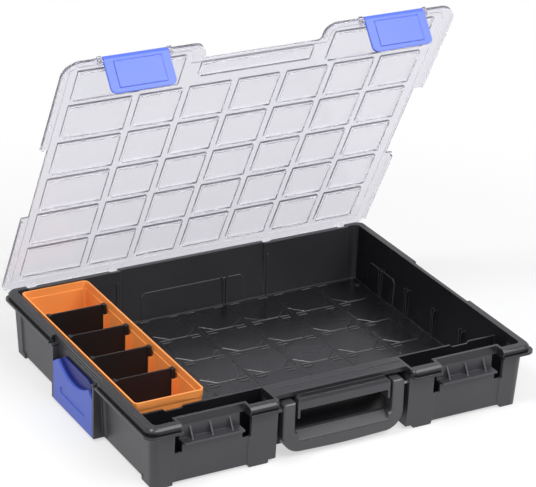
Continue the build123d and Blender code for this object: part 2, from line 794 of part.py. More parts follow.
def make_clip():
    """The right side clip: a scooped plate with sloping shoulders, hung on the rails by blind slots."""
    half = clip_length / 2
    top = clip_bottom + clip_height
    shoulder_y = half - clip_shoulder_length
    shoulder_z = top - clip_shoulder_drop
    outline = Polyline(
        (-half, clip_bottom), (half, clip_bottom), (half, shoulder_z), (shoulder_y, top),
        (-shoulder_y, top), (-half, shoulder_z), close=True
    )
    body = extrude(Plane.YZ * make_face(outline), amount=clip_thickness)
    body = Pos(clip_back_x, clip_mid_y, 0) * body
    scoop_z = top - clip_scoop_drop + clip_scoop_radius
    scoop = rod(clip_scoop_radius, clip_face_x - clip_scoop_depth, clip_face_x + overrun,
                clip_mid_y, scoop_z)
    grip_half = clip_grip_length / 2
    grip = block(clip_face_x - clip_grip_depth, clip_face_x + overrun, clip_mid_y - grip_half,
                 clip_mid_y + grip_half, clip_grip_level, clip_grip_level + clip_grip_height)
    grip = fillet(grip.edges().filter_by(Axis.X), clip_grip_radius)
    cuts = [scoop, grip]
    head_x = clip_back_x + rail_head_inset - rail_gap
    head_end = clip_back_x + rail_head_inset + rail_head_thickness + rail_gap
    rail_top = rail_bottom + rail_height
    for way in (-1, 1):
        y = clip_mid_y + way * rail_spread
        neck = rail_neck / 2 + rail_gap
        head = rail_head / 2 + rail_gap
        cuts.append(block(clip_back_x - overrun, head_end, y - neck, y + neck, 0, rail_top))
        cuts.append(block(head_x, head_end, y - head, y + head, 0, rail_top))
    return body - cuts


tray_width = tray_column - 2 * tray_side_gap - tray_lean
tray_length = field_rows * module - tray_end_gap
tray_mid_x = tray_column / 2 - half_width
tray_back_y = field_back_y + back_margin - tray_back_gap
tray_mid_y = tray_back_y - tray_length / 2
tray_z = floor_z
tray_top_z = rim_z - tray_top_gap
tray_height = tray_top_z - tray_z
tray_lean_deg = degrees(atan(tray_lean / tray_height))
divider_slot = divider_thickness + 2 * divider_gap
divider_pitch = (tray_length - 2 * tray_wall) / (divider_count + 1)


def tray_block(grow, low, high):
    """The tray's rounded outline, grown and leaning like its walls, between two heights."""
    out = grow + tray_lean * (low - tray_z) / tray_height
    outline = Rectangle(tray_width + 2 * out, tray_length + 2 * out)
    solid = extrude(outline, amount=high - low, taper=-tray_lean_deg)
    solid = fillet(solid.edges().group_by(Axis.Z)[1], tray_corner_radius + grow)
    return Pos(tray_mid_x, tray_mid_y, low) * solid


def divider_y(step):
    """Where a divider stands, counted from the back of the tray."""
    return tray_back_y - tray_wall - (step + 1) * divider_pitch


def make_tray():
    band_z = tray_top_z - tray_band_height
    shell = tray_block(0, tray_z, tray_top_z) + tray_block(tray_band_step, band_z, tray_top_z)
    shell = shell - tray_block(-tray_wall, tray_z + tray_wall, tray_top_z + overrun)
    shell = shell - tray_block(tray_band_step - tray_wall, band_z, tray_top_z + overrun)
    pillar_top = tray_top_z - tray_pillar_drop
    half = tray_width / 2
    pillars = []
    for step in range(divider_count):
        for way in (-1, 1):
            near = divider_y(step) + way * divider_slot / 2
            for side in (-1, 1):
                x = tray_mid_x + side * (half - tray_wall - tray_pillar_reach)
                edge = tray_mid_x + side * (half + tray_lean)
                pillars.append(block(x, edge, near, near + way * tray_pillar, tray_z, pillar_top))
    solid = tray_block(-tray_wall / 2, tray_z, tray_top_z)
    pillars = [pillar & solid for pillar in pillars]
    return shell + pillars


def make_divider(step):
    """A divider: a thin plate with a tab at each top corner that covers the tray's pillars."""
    y = divider_y(step)
    half = tray_width / 2 - tray_wall - 2 * divider_gap
    low = tray_z + tray_wall
    top = tray_top_z - divider_top_drop
    half_thick = divider_thickness / 2
    plate = block(tray_mid_x - half, tray_mid_x + half, y - half_thick, y + half_thick, low, top)
    tab_low = tray_top_z - tray_pillar_drop + divider_gap
    tabs = []
    for side in (-1, 1):
        edge = tray_mid_x + side * half
        tabs.append(block(edge - side * divider_tab_reach, edge, y - divider_tab_length / 2,
                          y + divider_tab_length / 2, tab_low, top))
    return plate + tabs


def make_pins():
    """The right pins of the hinge, the latch and the handle."""
    near, far = hinge_zone()
    hinge = rod(hinge_pin_radius, near + hinge_gap, far - hinge_gap, hinge_y, hinge_z)
    latch = rod(latch_pin_radius, latch_mid - lug_outer, latch_mid + lug_outer, latch_axis_y, latch_axis_z)
    seat = handle_half_width - handle_pin_seat + pin_clearance
    handle = rod(handle_pin_radius, seat, recess_half_width + handle_boss_length - pin_clearance,
                 handle_axis_y, handle_axis_z)
    return {"hinge_pin": hinge, "latch_pin": open_lid(latch), "handle_pin": handle}


def make_parts():
    clip = make_clip()
    parts = {
        "base_tub": make_tub(),
        "lid": make_lid(),
        "latch_left": make_latch(-latch_mid),
        "latch_right": make_latch(latch_mid),
        "carry_handle": make_handle(),
        "side_clip_left": mirror(clip, about=Plane.YZ),
        "side_clip_right": clip,
        "tray": make_tray(),
    }
    for step in range(divider_count):
        parts[f"divider_{step + 1}"] = make_divider(step)
    for name, pin in make_pins().items():
        parts[f"{name}_left"] = mirror(pin, about=Plane.YZ)
        parts[f"{name}_right"] = pin
    return parts


os.makedirs("parts", exist_ok=True)
for name, solid in make_parts().items():
    export_step(solid, f"parts/{name}.step")
    size = solid.bounding_box().size
    print(name, len(solid.solids()), round(size.X, 2), round(size.Y, 2), round(size.Z, 2))
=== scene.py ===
# %% [markdown]
# # An assortment case in Blender
# The case is a black moulded tub with a clear waffle lid, blue latches and clips, a drop handle and an
# orange tray with dividers. The exact solids come from a CAD frame, so every size is settled already.
# Here the solids get their finishes, their softened edges and the fine mould detail, and a small studio.

# %% Load the frame
from math import acos, degrees, radians

import bmesh
import bpy
from mathutils import Matrix, Vector


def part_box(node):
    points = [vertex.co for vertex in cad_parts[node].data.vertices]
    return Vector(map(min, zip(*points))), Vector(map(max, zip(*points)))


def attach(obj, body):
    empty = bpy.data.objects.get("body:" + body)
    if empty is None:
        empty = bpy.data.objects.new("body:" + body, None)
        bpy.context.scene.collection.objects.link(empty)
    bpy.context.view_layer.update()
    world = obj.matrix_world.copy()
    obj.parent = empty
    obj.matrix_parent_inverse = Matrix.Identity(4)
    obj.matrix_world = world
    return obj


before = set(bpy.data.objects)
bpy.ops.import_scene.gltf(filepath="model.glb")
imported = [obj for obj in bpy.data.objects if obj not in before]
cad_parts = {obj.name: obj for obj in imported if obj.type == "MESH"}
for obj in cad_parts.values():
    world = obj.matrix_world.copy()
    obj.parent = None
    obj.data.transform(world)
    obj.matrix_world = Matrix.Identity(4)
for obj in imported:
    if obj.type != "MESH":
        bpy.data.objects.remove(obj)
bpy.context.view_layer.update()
MM = 0.001

# %% [markdown]
# ## Camera
# The photograph was taken from the front left with a long lens, from above the case. A camera could be
# set by eye, but matching the corners of the floor's grid gives a place and a lens that put the edges
# within a few pixels of the photograph's. The turn is a yaw, then a pitch, then a small roll. A camera
# that isn't turned looks straight down, so the pitch starts from a quarter turn, which is level.

# %% Camera
SENSOR_MM, LENS_MM = 36, 165.81
CAMERA_PLACE = (-1.0912, -1.9623, 1.1580)
YAW, PITCH, ROLL = radians(29.1193), radians(-24.2014), radians(1.7945)
LEVEL = radians(90)
FARTHEST_SEEN = 50
camera_data = bpy.data.cameras.new("studio_camera")
camera_data.sensor_width = SENSOR_MM
camera_data.lens = LENS_MM
camera_data.clip_end = FARTHEST_SEEN
camera = bpy.data.objects.new("studio_camera", camera_data)
bpy.context.scene.collection.objects.link(camera)
turn = Matrix.Rotation(-YAW, 4, "Z") @ Matrix.Rotation(LEVEL + PITCH, 4, "X")
turn = turn @ Matrix.Rotation(ROLL, 4, "Z")
camera.matrix_world = Matrix.Translation(CAMERA_PLACE) @ turn
bpy.context.scene.camera = camera
print("camera", [round(v, 3) for v in camera.location], "lens", LENS_MM)

# %% [markdown]
# ## Helpers for node materials
# Every finish below is a graph of nodes. A graph can be wired one socket at a time, but that takes many
# lines and hides its shape. These helpers make a node, set it up and feed its inputs in one call. An input
# is fed with a fixed value or with the output of another node.

# %% Node helpers
def feed(tree, made, inputs):
    """Feeds a node's inputs, each with a fixed value or from another node's output."""
    for socket, source in inputs.items():
        if isinstance(source, bpy.types.NodeSocket):
            tree.links.new(source, made.inputs[socket])
        else:
            made.inputs[socket].default_value = source


def node(tree, kind, inputs=None, **settings):
    """A new node. Its settings come first, because they decide which inputs it has."""
    made = tree.nodes.new(kind)
    for name, value in settings.items():
        setattr(made, name, value)
    feed(tree, made, inputs or {})
    return made


def reckon(tree, operation, *terms):
    """The result of a Math node."""
    return node(tree, "ShaderNodeMath", dict(enumerate(terms)), operation=operation).outputs[0]


print("helpers", [helper.__name__ for helper in (feed, node, reckon)])

# %% [markdown]
# ## Studio floor
# A product like this is shot on a white sweep. A floor that is only painted white turns grey away from
# the lamps. So the paint is plain and pale, and for rays that look straight at it, or through the clear
# lid, it fades into an even white away from the case. Near the case, part of the paint is left, and
# shows the shadow.

# %% Floor sheet
FLOOR_HALF_SIDE = 8.0
floor_mesh = bpy.data.meshes.new("studio_floor")
sweep = bmesh.new()
bmesh.ops.create_grid(sweep, x_segments=1, y_segments=1, size=FLOOR_HALF_SIDE)
sweep.to_mesh(floor_mesh)
sweep.free()
studio_floor = bpy.data.objects.new("studio_floor", floor_mesh)
bpy.context.scene.collection.objects.link(studio_floor)
print("floor", studio_floor.dimensions[:])

# %% Floor paint
PAINT_COLOUR, PAINT_ROUGHNESS = (0.9, 0.9, 0.9, 1), 0.9
NEAR_WHITE = 0.6
SHADOW_REACH, SWEEP_REACH = 0.3, 0.75


def seen_directly(tree):
    """1 for camera, glossy and transmission rays, and 0 for the light that bounces round the studio."""
    path = node(tree, "ShaderNodeLightPath").outputs
    seen = reckon(tree, "MAXIMUM", path["Is Camera Ray"], path["Is Glossy Ray"])
    return reckon(tree, "MAXIMUM", seen, path["Is Transmission Ray"])


floor_paint = bpy.data.materials.new("pale_floor")
floor_paint.use_nodes = True
paint_tree = floor_paint.node_tree
paint = paint_tree.nodes["Principled BSDF"]
matt = {"Base Color": PAINT_COLOUR, "Roughness": PAINT_ROUGHNESS, "Specular IOR Level": 0.0}
feed(paint_tree, paint, matt)
floor_place = node(paint_tree, "ShaderNodeTexCoord").outputs["Object"]
distance = node(paint_tree, "ShaderNodeVectorMath", {0: floor_place}, operation="LENGTH")
reach = {"Value": distance.outputs["Value"], "From Min": SHADOW_REACH, "From Max": SWEEP_REACH}
fade = node(
    paint_tree, "ShaderNodeMapRange", {**reach, "To Min": NEAR_WHITE}, interpolation_type="SMOOTHSTEP"
)
white = node(paint_tree, "ShaderNodeEmission")
white_share = reckon(paint_tree, "MULTIPLY", seen_directly(paint_tree), fade.outputs[0])
both = {"Fac": white_share, 1: paint.outputs["BSDF"], 2: white.outputs["Emission"]}
either = node(paint_tree, "ShaderNodeMixShader", both)
feed(paint_tree, paint_tree.nodes["Material Output"], {"Surface": either.outputs[0]})
floor_mesh.materials.append(floor_paint)
print("floor paint", floor_paint.name, "nodes", len(paint_tree.nodes))

# %% [markdown]
# ## Studio light
# Black plastic only shows its shape by what it mirrors, so a small soft box stands high on the left, where
# the slopes of the floor pads throw it back to the camera. A wide one high in front lights the front, the
# back wall and the tray, and a weak one fills the left side. The world adds an even, low light all round,
# and is white where a ray looks straight at it. One bright sky would be simpler, but it would grey the black.

# %% Sky
SKY_WHITE = (1, 1, 1, 1)
SKY_FILL, SKY_SEEN = 0.35, 1.0
world = bpy.data.worlds.new("studio_sky")
world.use_nodes = True
bpy.context.scene.world = world
sky_tree = world.node_tree
levels = {"Value": seen_directly(sky_tree), "To Min": SKY_FILL, "To Max": SKY_SEEN}
strength = node(sky_tree, "ShaderNodeMapRange", levels)
feed(sky_tree, sky_tree.nodes["Background"], {"Color": SKY_WHITE, "Strength": strength.outputs[0]})
bpy.context.scene.view_settings.view_transform = "Standard"
print("sky fills with", SKY_FILL, "and is seen at", SKY_SEEN)

# %% Soft boxes
CASE_MIDDLE, CASE_FOOT = (0, 0, 0.05), (0, 0, 0)


def soft_box(name, place, target, size, watts):
    """A rectangular lamp that faces a target."""
    lamp_data = bpy.data.lights.new(name, "AREA")
    lamp_data.shape = "RECTANGLE"
    lamp_data.size, lamp_data.size_y = size
    lamp_data.energy = watts
    lamp = bpy.data.objects.new(name, lamp_data)
    bpy.context.scene.collection.objects.link(lamp)
    aim = (Vector(target) - Vector(place)).to_track_quat("-Z", "Y")
    lamp.matrix_world = Matrix.Translation(place) @ aim.to_matrix().to_4x4()
    return lamp


lamps = [
    soft_box("soft_box_front", place=(0.40, -1.32, 1.50), target=CASE_MIDDLE, size=(1.8, 0.8), watts=30),
    soft_box("soft_box_high", place=(-1.0, -0.3, 1.7), target=CASE_FOOT, size=(0.44, 0.44), watts=14),
    soft_box("soft_box_left", place=(-1.9, -0.6, 0.8), target=CASE_MIDDLE, size=(1.0, 0.8), watts=4),
]
print("lamps", [(lamp.name, lamp.data.energy) for lamp in lamps])

# %% [markdown]
# ## Soft edges with a painted highlight
# A moulded edge is a little round, so it catches the lamps as a thin bright line, and handling rubs it a
# little paler. Here the edges are painted paler, partly as wear and partly as a painted highlight. The paint
# could be put on edge by edge. The Bevel node finds the edges by itself: it gives the normal that a rounded
# edge would have, and where that normal turns away from the face's own normal, there is an edge.

# %% Edge mask
SOFT_EDGE, EDGE_SAMPLES = 0.7 * MM, 6
EDGE_STARTS, EDGE_FULL = 0.985, 0.80


def edge_mask(tree, radius, samples, most):
    """The normal of a softened edge, and a mask that rises to most where that normal turns from the face."""
    soft_normal = node(tree, "ShaderNodeBevel", {"Radius": radius}, samples=samples).outputs["Normal"]
    face_normal = node(tree, "ShaderNodeNewGeometry").outputs["Normal"]
    turned = node(tree, "ShaderNodeVectorMath", {0: soft_normal, 1: face_normal}, operation="DOT_PRODUCT")
    limits = {"From Min": EDGE_STARTS, "From Max": EDGE_FULL, "To Max": most}
    wear_highlight_mask = node(tree, "ShaderNodeMapRange", {"Value": turned.outputs["Value"], **limits})
    return soft_normal, wear_highlight_mask.outputs[0]


turns = [round(degrees(acos(limit))) for limit in (EDGE_STARTS, EDGE_FULL)]
print("wear starts at a turn of", turns[0], "degrees and is full at", turns[1])

# %% [markdown]
# ## Moulded plastics
# Polypropylene mouldings are never one flat colour: the mould's spark-eroded grain breaks up the gloss,
# and pigment and cooling leave broad faint clouds. A picture texture could do it, but noise on Object
# coordinates needs no unwrapping and keeps its size in millimetres on every piece.

# %% Moulded plastic
CLOUD_SCALE, CLOUD_DETAIL = 14.0, 3.0
CLOUD_STOPS = (0.3, 0.7)
GRAIN_DETAIL, GRAIN_STRENGTH = 2.0, 0.35
SHEEN_SPREAD = 0.07
WEAR_HIGHLIGHT_PALER, WEAR_HIGHLIGHT_HAZE = 1.6, 0.08
FIRST_COLOUR, SECOND_COLOUR, MIXED_COLOUR = 6, 7, 2  # where a Mix node keeps its colour sockets


def shade_of(colour, factor, haze=0.0):
    """A colour times a factor, with a grey haze added, as a socket takes it."""
    return [min(1.0, factor * part + haze) for part in colour] + [1]


def moulded_plastic(name, colour, roughness, grain_mm, grain_depth_mm, cloud=0.12, gloss=0.4, edge_wear_highlight=0.3):
    """Pigmented plastic: broad colour clouds, fine grain in the bump, and soft edges painted paler, as wear
    and as a painted highlight.
    """
    finish = bpy.data.materials.new(name)
    finish.use_nodes = True
    tree = finish.node_tree
    place = node(tree, "ShaderNodeTexCoord").outputs["Object"]
    broad = {"Vector": place, "Scale": CLOUD_SCALE, "Detail": CLOUD_DETAIL}
    clouds = node(tree, "ShaderNodeTexNoise", broad).outputs["Fac"]
    tint = node(tree, "ShaderNodeValToRGB", {"Fac": clouds}, name="tint")
    for stop, position, factor in zip(tint.color_ramp.elements, CLOUD_STOPS, (1 - cloud, 1 + cloud)):
        stop.position = position
        stop.color = shade_of(colour, factor)
    sheen_ends = {"To Min": roughness - SHEEN_SPREAD, "To Max": roughness + SHEEN_SPREAD}
    sheen = node(tree, "ShaderNodeMapRange", {"Value": clouds, **sheen_ends}, name="sheen")
    # Edges painted paler: partly wear, partly a painted highlight.
    soft_normal, wear_highlight_mask = edge_mask(tree, SOFT_EDGE, EDGE_SAMPLES, edge_wear_highlight)
    wear_highlight_colour = shade_of(colour, WEAR_HIGHLIGHT_PALER, WEAR_HIGHLIGHT_HAZE)
    colours = {"Factor": wear_highlight_mask, FIRST_COLOUR: tint.outputs["Color"], SECOND_COLOUR: wear_highlight_colour}
    wear_highlight_mix = node(tree, "ShaderNodeMix", colours, data_type="RGBA", name="wear_highlight_mix")
    fine = {"Vector": place, "Scale": 1 / (grain_mm * MM), "Detail": GRAIN_DETAIL}
    grain = node(tree, "ShaderNodeTexNoise", fine).outputs["Fac"]
    relief = {"Strength": GRAIN_STRENGTH, "Distance": grain_depth_mm * MM, "Height": grain}
    bump = node(tree, "ShaderNodeBump", {**relief, "Normal": soft_normal})
    feed(tree, tree.nodes["Principled BSDF"], {
        "Base Color": wear_highlight_mix.outputs[MIXED_COLOUR],
        "Roughness": sheen.outputs[0],
        "Specular IOR Level": gloss,
        "Normal": bump.outputs["Normal"],
    })
    return finish


handle_black = moulded_plastic(
    "handle_black", (0.048, 0.048, 0.053), roughness=0.32, grain_mm=0.7, grain_depth_mm=0.05, gloss=0.5
)
print("moulded plastic", handle_black.name, "nodes", len(handle_black.node_tree.nodes))

# %% Black, blue and orange
divider_black = moulded_plastic(
    "divider_black", (0.010, 0.009, 0.010), roughness=0.42, grain_mm=0.8, grain_depth_mm=0.04, gloss=0.25
)
latch_blue = moulded_plastic(
    "latch_blue", (0.088, 0.155, 0.70), roughness=0.3, grain_mm=0.8, grain_depth_mm=0.03, cloud=0.05
)
clip_blue = moulded_plastic(
    "clip_blue", (0.068, 0.118, 0.52), roughness=0.36, grain_mm=0.8, grain_depth_mm=0.03, cloud=0.06,
    gloss=0.25,
)
tray_orange = moulded_plastic(
    "tray_orange", (0.97, 0.34, 0.085), roughness=0.36, grain_mm=0.8, grain_depth_mm=0.04, cloud=0.05,
    gloss=0.25,
)
print("plastics", [finish.name for finish in (divider_black, latch_blue, clip_blue, tray_orange)])

# %% [markdown]
# ## The tub's painted shade
# One material covers the tub. The outside is a matt charcoal. The inside is painted a deep black, which is
# painted shade, and it reaches forward to the back of the handle recess; the inside is also a little
# smoother.
# The rim is painted nearly as dark, which is painted shade too. The back wall inside gets only part of the
# painted shade, which stands for the front lamp's light on it. Two materials would have to be kept in step,
# so one material holds both, and a box in Object coordinates tells them apart. They meet inside the walls, so
# the box leans outwards with the walls.

# %% Inside of the tub
INSIDE_HALF_WIDTH = 199.7 * MM
INSIDE_BACK, INSIDE_FRONT = 157.5 * MM, -138.6 * MM
INSIDE_FLOOR = 6.0 * MM
RIM_FOOT, RIM_TOP = 59.7 * MM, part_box("base_tub")[1][2]
WALL_LEAN = 0.048
WALL_SKIN, FLOOR_SKIN, RIM_SKIN = 1.2 * MM, 0.6 * MM, 0.3 * MM
BACK_RELIEF = 4.2 * MM
RIM_SHADE_SHARE, BACK_SHADE_SHARE = 0.85, 0.35


def tub_shade_mask(tree):
    """The painted shade: 1 inside the tub's walls, 0 outside them, and between the two on the rim and the
    back wall.
    """
    place = node(tree, "ShaderNodeTexCoord").outputs["Object"]
    axes = node(tree, "ShaderNodeSeparateXYZ", {0: place}).outputs
    across = reckon(tree, "ABSOLUTE", axes["X"])
    across = reckon(tree, "MULTIPLY_ADD", axes["Z"], -WALL_LEAN, across)
    backwards = reckon(tree, "MULTIPLY_ADD", axes["Z"], -WALL_LEAN, axes["Y"])
    half_width = INSIDE_HALF_WIDTH - WALL_LEAN * INSIDE_FLOOR
    back = INSIDE_BACK - WALL_LEAN * INSIDE_FLOOR
    tests = [
        reckon(tree, "LESS_THAN", backwards, back + WALL_SKIN),
        reckon(tree, "GREATER_THAN", axes["Y"], INSIDE_FRONT),
        reckon(tree, "GREATER_THAN", axes["Z"], INSIDE_FLOOR - FLOOR_SKIN),
        reckon(tree, "LESS_THAN", axes["Z"], RIM_TOP - RIM_SKIN),
    ]
    within = reckon(tree, "LESS_THAN", across, half_width + WALL_SKIN)
    for test in tests:
        within = reckon(tree, "MINIMUM", within, test)
    # The rim gets most of the painted shade; the back wall inside gets only part of it, as painted light from
    # the front lamp.
    rim = reckon(tree, "MULTIPLY", reckon(tree, "GREATER_THAN", axes["Z"], RIM_FOOT), RIM_SHADE_SHARE)
    off_back = reckon(tree, "LESS_THAN", backwards, back - BACK_RELIEF)
    back_wall = reckon(tree, "MULTIPLY_ADD", off_back, 1 - BACK_SHADE_SHARE, BACK_SHADE_SHARE)
    return reckon(tree, "MULTIPLY", reckon(tree, "MAXIMUM", within, rim), back_wall)


print("inside of the tub", round(2 * INSIDE_HALF_WIDTH, 4), "by", round(INSIDE_BACK - INSIDE_FRONT, 4))

# %% Tub plastic
PAINTED_SHADE_BLACK = (0.009, 0.009, 0.011, 1)
INSIDE_SMOOTHER = 0.12


def recolour(finish, mask, colour):
    """Turns a moulded plastic to another colour where a mask is 1."""
    tree = finish.node_tree
    colours = {"Factor": mask, FIRST_COLOUR: tree.nodes["tint"].outputs["Color"], SECOND_COLOUR: colour}
    mixed = node(tree, "ShaderNodeMix", colours, data_type="RGBA")
    feed(tree, tree.nodes["wear_highlight_mix"], {FIRST_COLOUR: mixed.outputs[MIXED_COLOUR]})


# The tub's edges get the strongest painted highlight.
tub_black = moulded_plastic(
    "tub_black", (0.039, 0.039, 0.045), roughness=0.40, grain_mm=0.9, grain_depth_mm=0.05, gloss=0.45,
    edge_wear_highlight=0.9,
)
tub_tree = tub_black.node_tree
# Painted shade: the inside, the rim and the back wall turn darker, and the inside also smoother.
painted_tub_shade = tub_shade_mask(tub_tree)
recolour(tub_black, painted_tub_shade, PAINTED_SHADE_BLACK)
inside_roughness = reckon(
    tub_tree, "MULTIPLY_ADD", painted_tub_shade, -INSIDE_SMOOTHER, tub_tree.nodes["sheen"].outputs[0]
)
feed(tub_tree, tub_tree.nodes["Principled BSDF"], {"Roughness": inside_roughness})
print("tub plastic", tub_black.name, "nodes", len(tub_tree.nodes))

# %% [markdown]
# ## Painted shade in the clips' scoop
# The clips' finger scoop lies under the rim's overhang, so its floor is painted a dark navy: painted shade.
# Behind the finger scoop only a thin web is left in front of the black wall. A second material could be put
# on those faces, but the mesh belongs to the CAD. The scoop's floor lies well behind the clip's outer face,
# so its distance from the middle of the case picks it out on both clips.

# %% Clip scoop shade
CLIP_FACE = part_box("side_clip_right")[1][0]
WEB_DEPTH = 2.5 * MM
SCOOP_SHADE_NAVY = (0.006, 0.014, 0.17, 1)
clip_tree = clip_blue.node_tree
clip_place = node(clip_tree, "ShaderNodeTexCoord").outputs["Object"]
clip_axes = node(clip_tree, "ShaderNodeSeparateXYZ", {0: clip_place}).outputs
clip_across = reckon(clip_tree, "ABSOLUTE", clip_axes["X"])
# Painted shade: the scoop's floor turns navy.
scoop_shade = reckon(clip_tree, "LESS_THAN", clip_across, CLIP_FACE - WEB_DEPTH)
recolour(clip_blue, scoop_shade, SCOOP_SHADE_NAVY)
print("clip web from", round(CLIP_FACE - WEB_DEPTH, 4))

# %% [markdown]
# ## Clear plastic
# The lid is one clear moulding. Its walls have real thickness in the CAD, so a transmitting shader bends
# light at every pad and draws the thin dark lines round the cells by itself. It bends light less than solid
# plastic would, which keeps those lines thin. A cool grey tint and a little roughness give the milky look of
# clear plastic, and a soft ripple stands for the flow of the melt. The edge mask paints the edges near white
# and makes them less clear: a painted highlight along the edges, which also lightens the dark lines.

# %% Clear plastic
LID_EDGE, LID_EDGE_SAMPLES = 1.2 * MM, 4
CLEAR_SHARE, EDGE_CLEAR_SHARE = 0.93, 0.45
FLOW_SCALE, FLOW_DETAIL = 28.0, 1.5
FLOW_STRENGTH, FLOW_DEPTH = 0.25, 0.5 * MM


def clear_plastic(name, tint, highlight_tint, roughness, bend):
    """A clear moulding: mostly transmission, with a painted highlight on its edges and a little flow ripple
    in the surface.
    """
    finish = bpy.data.materials.new(name)
    finish.use_nodes = True
    tree = finish.node_tree
    # Painted highlight: the lid's edges turn near white and less clear.
    lid_edge_highlight = edge_mask(tree, LID_EDGE, LID_EDGE_SAMPLES, most=1.0)[1]
    colours = {"Factor": lid_edge_highlight, FIRST_COLOUR: (*tint, 1), SECOND_COLOUR: (*highlight_tint, 1)}
    highlight_colour = node(tree, "ShaderNodeMix", colours, data_type="RGBA")
    shares = {"Value": lid_edge_highlight, "To Min": CLEAR_SHARE, "To Max": EDGE_CLEAR_SHARE}
    clearness = node(tree, "ShaderNodeMapRange", shares)
    place = node(tree, "ShaderNodeTexCoord").outputs["Object"]
    ripple = {"Vector": place, "Scale": FLOW_SCALE, "Detail": FLOW_DETAIL}
    flow = node(tree, "ShaderNodeTexNoise", ripple).outputs["Fac"]
    relief = {"Strength": FLOW_STRENGTH, "Distance": FLOW_DEPTH, "Height": flow}
    bump = node(tree, "ShaderNodeBump", relief)
    feed(tree, tree.nodes["Principled BSDF"], {
        "Base Color": highlight_colour.outputs[MIXED_COLOUR],
        "Transmission Weight": clearness.outputs[0],
        "Roughness": roughness,
        "IOR": bend,
        "Normal": bump.outputs["Normal"],
    })
    return finish


lid_clear = clear_plastic(
    "lid_clear", tint=(0.82, 0.815, 0.87), highlight_tint=(0.97, 0.97, 0.99), roughness=0.10, bend=1.18
)
print("clear plastic", lid_clear.name, "nodes", len(lid_clear.node_tree.nodes))

# %% [markdown]
# ## Drawn steel wire
# The hinge, latch and handle pins are cut from drawn wire, which has fine scratches along its length. An
# anisotropic shader could blur its gloss, but scratches show the wire's direction close up too. The pins run
# along X, so noise that is stretched along X gives those scratches.

# %% Steel
STEEL_GREY = (0.36, 0.36, 0.38, 1)
SCRATCH_SCALE = (40, 3000, 3000)
STEEL_SMOOTH, STEEL_ROUGH = 0.32, 0.52
pin_steel = bpy.data.materials.new("pin_steel")
pin_steel.use_nodes = True
steel_tree = pin_steel.node_tree
steel_place = node(steel_tree, "ShaderNodeTexCoord").outputs["Object"]
along = node(steel_tree, "ShaderNodeMapping", {"Vector": steel_place, "Scale": SCRATCH_SCALE})
scratches = node(steel_tree, "ShaderNodeTexNoise", {"Vector": along.outputs["Vector"], "Scale": 1.0})
steel_ends = {"Value": scratches.outputs["Fac"], "To Min": STEEL_SMOOTH, "To Max": STEEL_ROUGH}
steel_sheen = node(steel_tree, "ShaderNodeMapRange", steel_ends)
metal = {"Metallic": 1.0, "Base Color": STEEL_GREY, "Roughness": steel_sheen.outputs[0]}
feed(steel_tree, steel_tree.nodes["Principled BSDF"], metal)
print("steel", pin_steel.name, "nodes", len(steel_tree.nodes))

# %% [markdown]
# ## Finishes on the CAD pieces
# Every CAD node keeps its mesh and gets its finish. A moulded edge is never knife sharp, so the coloured
# pieces also get a Weld and a Bevel modifier: Weld closes the loose triangles, and Bevel rounds each hard
# edge by a fraction of a millimetre, which is what catches the light along the rim. The edges could be
# rounded in the CAD, but that would cost many faces. The lid and the pins get neither modifier: the painted
# highlight of the edge mask in the lid's finish draws its edges, and the pins are round already.

# %% Dress the CAD pieces
WELD_REACH = 0.002 * MM
HARD_EDGE, EDGE_SEGMENTS = radians(35), 2
TUB_EDGE, HANDLE_EDGE, SMALL_EDGE, DIVIDER_EDGE = 0.35 * MM, 0.4 * MM, 0.3 * MM, 0.25 * MM
DIVIDERS = 4


def dress(name, finish):
    """Gives a CAD piece its finish."""
    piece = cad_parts[name]
    piece.data.materials.clear()
    piece.data.materials.append(finish)
    return piece


def ease_edges(piece, width):
    """Rounds the hard edges of a piece, once its loose triangles are joined."""
    weld = piece.modifiers.new("close_seams", "WELD")
    weld.merge_threshold = WELD_REACH
    bevel = piece.modifiers.new("eased_edges", "BEVEL")
    bevel.width = width
    bevel.segments = EDGE_SEGMENTS
    bevel.limit_method = "ANGLE"
    bevel.angle_limit = HARD_EDGE
    bevel.harden_normals = True


coloured = {
    "base_tub": (tub_black, TUB_EDGE),
    "carry_handle": (handle_black, HANDLE_EDGE),
    "tray": (tray_orange, SMALL_EDGE),
}
for side in ("left", "right"):
    coloured[f"latch_{side}"] = (latch_blue, SMALL_EDGE)
    coloured[f"side_clip_{side}"] = (clip_blue, SMALL_EDGE)
for number in range(1, DIVIDERS + 1):
    coloured[f"divider_{number}"] = (divider_black, DIVIDER_EDGE)
for name, (finish, width) in coloured.items():
    ease_edges(dress(name, finish), width)
dress("lid", lid_clear)
pins = [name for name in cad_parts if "pin" in name]
for name in pins:
    dress(name, pin_steel)
print("dressed", len(coloured), "coloured pieces, the lid and", len(pins), "pins")

# %% [markdown]
# ## Locating bars on the tub's floor
# Insert boxes stand on the floor in a grid, and four short bars at each crossing of the grid keep their
# corners in place. They are part of the tub's moulding. Each is a small block whose edges are bevelled, and
# all of them share one mesh. An array modifier could repeat one block, but the rows at the walls have
# bars on one side only, which a plain loop over the crossings says more clearly.

# %% Blocks and pieces
def add_block(shape, low, high):
    """Adds a block between two corners to a bmesh."""
    low, high = Vector(low), Vector(high)
    place = Matrix.Translation((low + high) / 2) @ Matrix.Diagonal((*(high - low), 1))
    bmesh.ops.create_cube(shape, size=1.0, matrix=place)


def bevel_all(shape, width):
    """Takes a flat off every edge of a bmesh."""
    bmesh.ops.bevel(shape, geom=shape.edges[:], offset=width, offset_type="OFFSET", segments=1,
                    profile=0.5, affect="EDGES", material=-1)


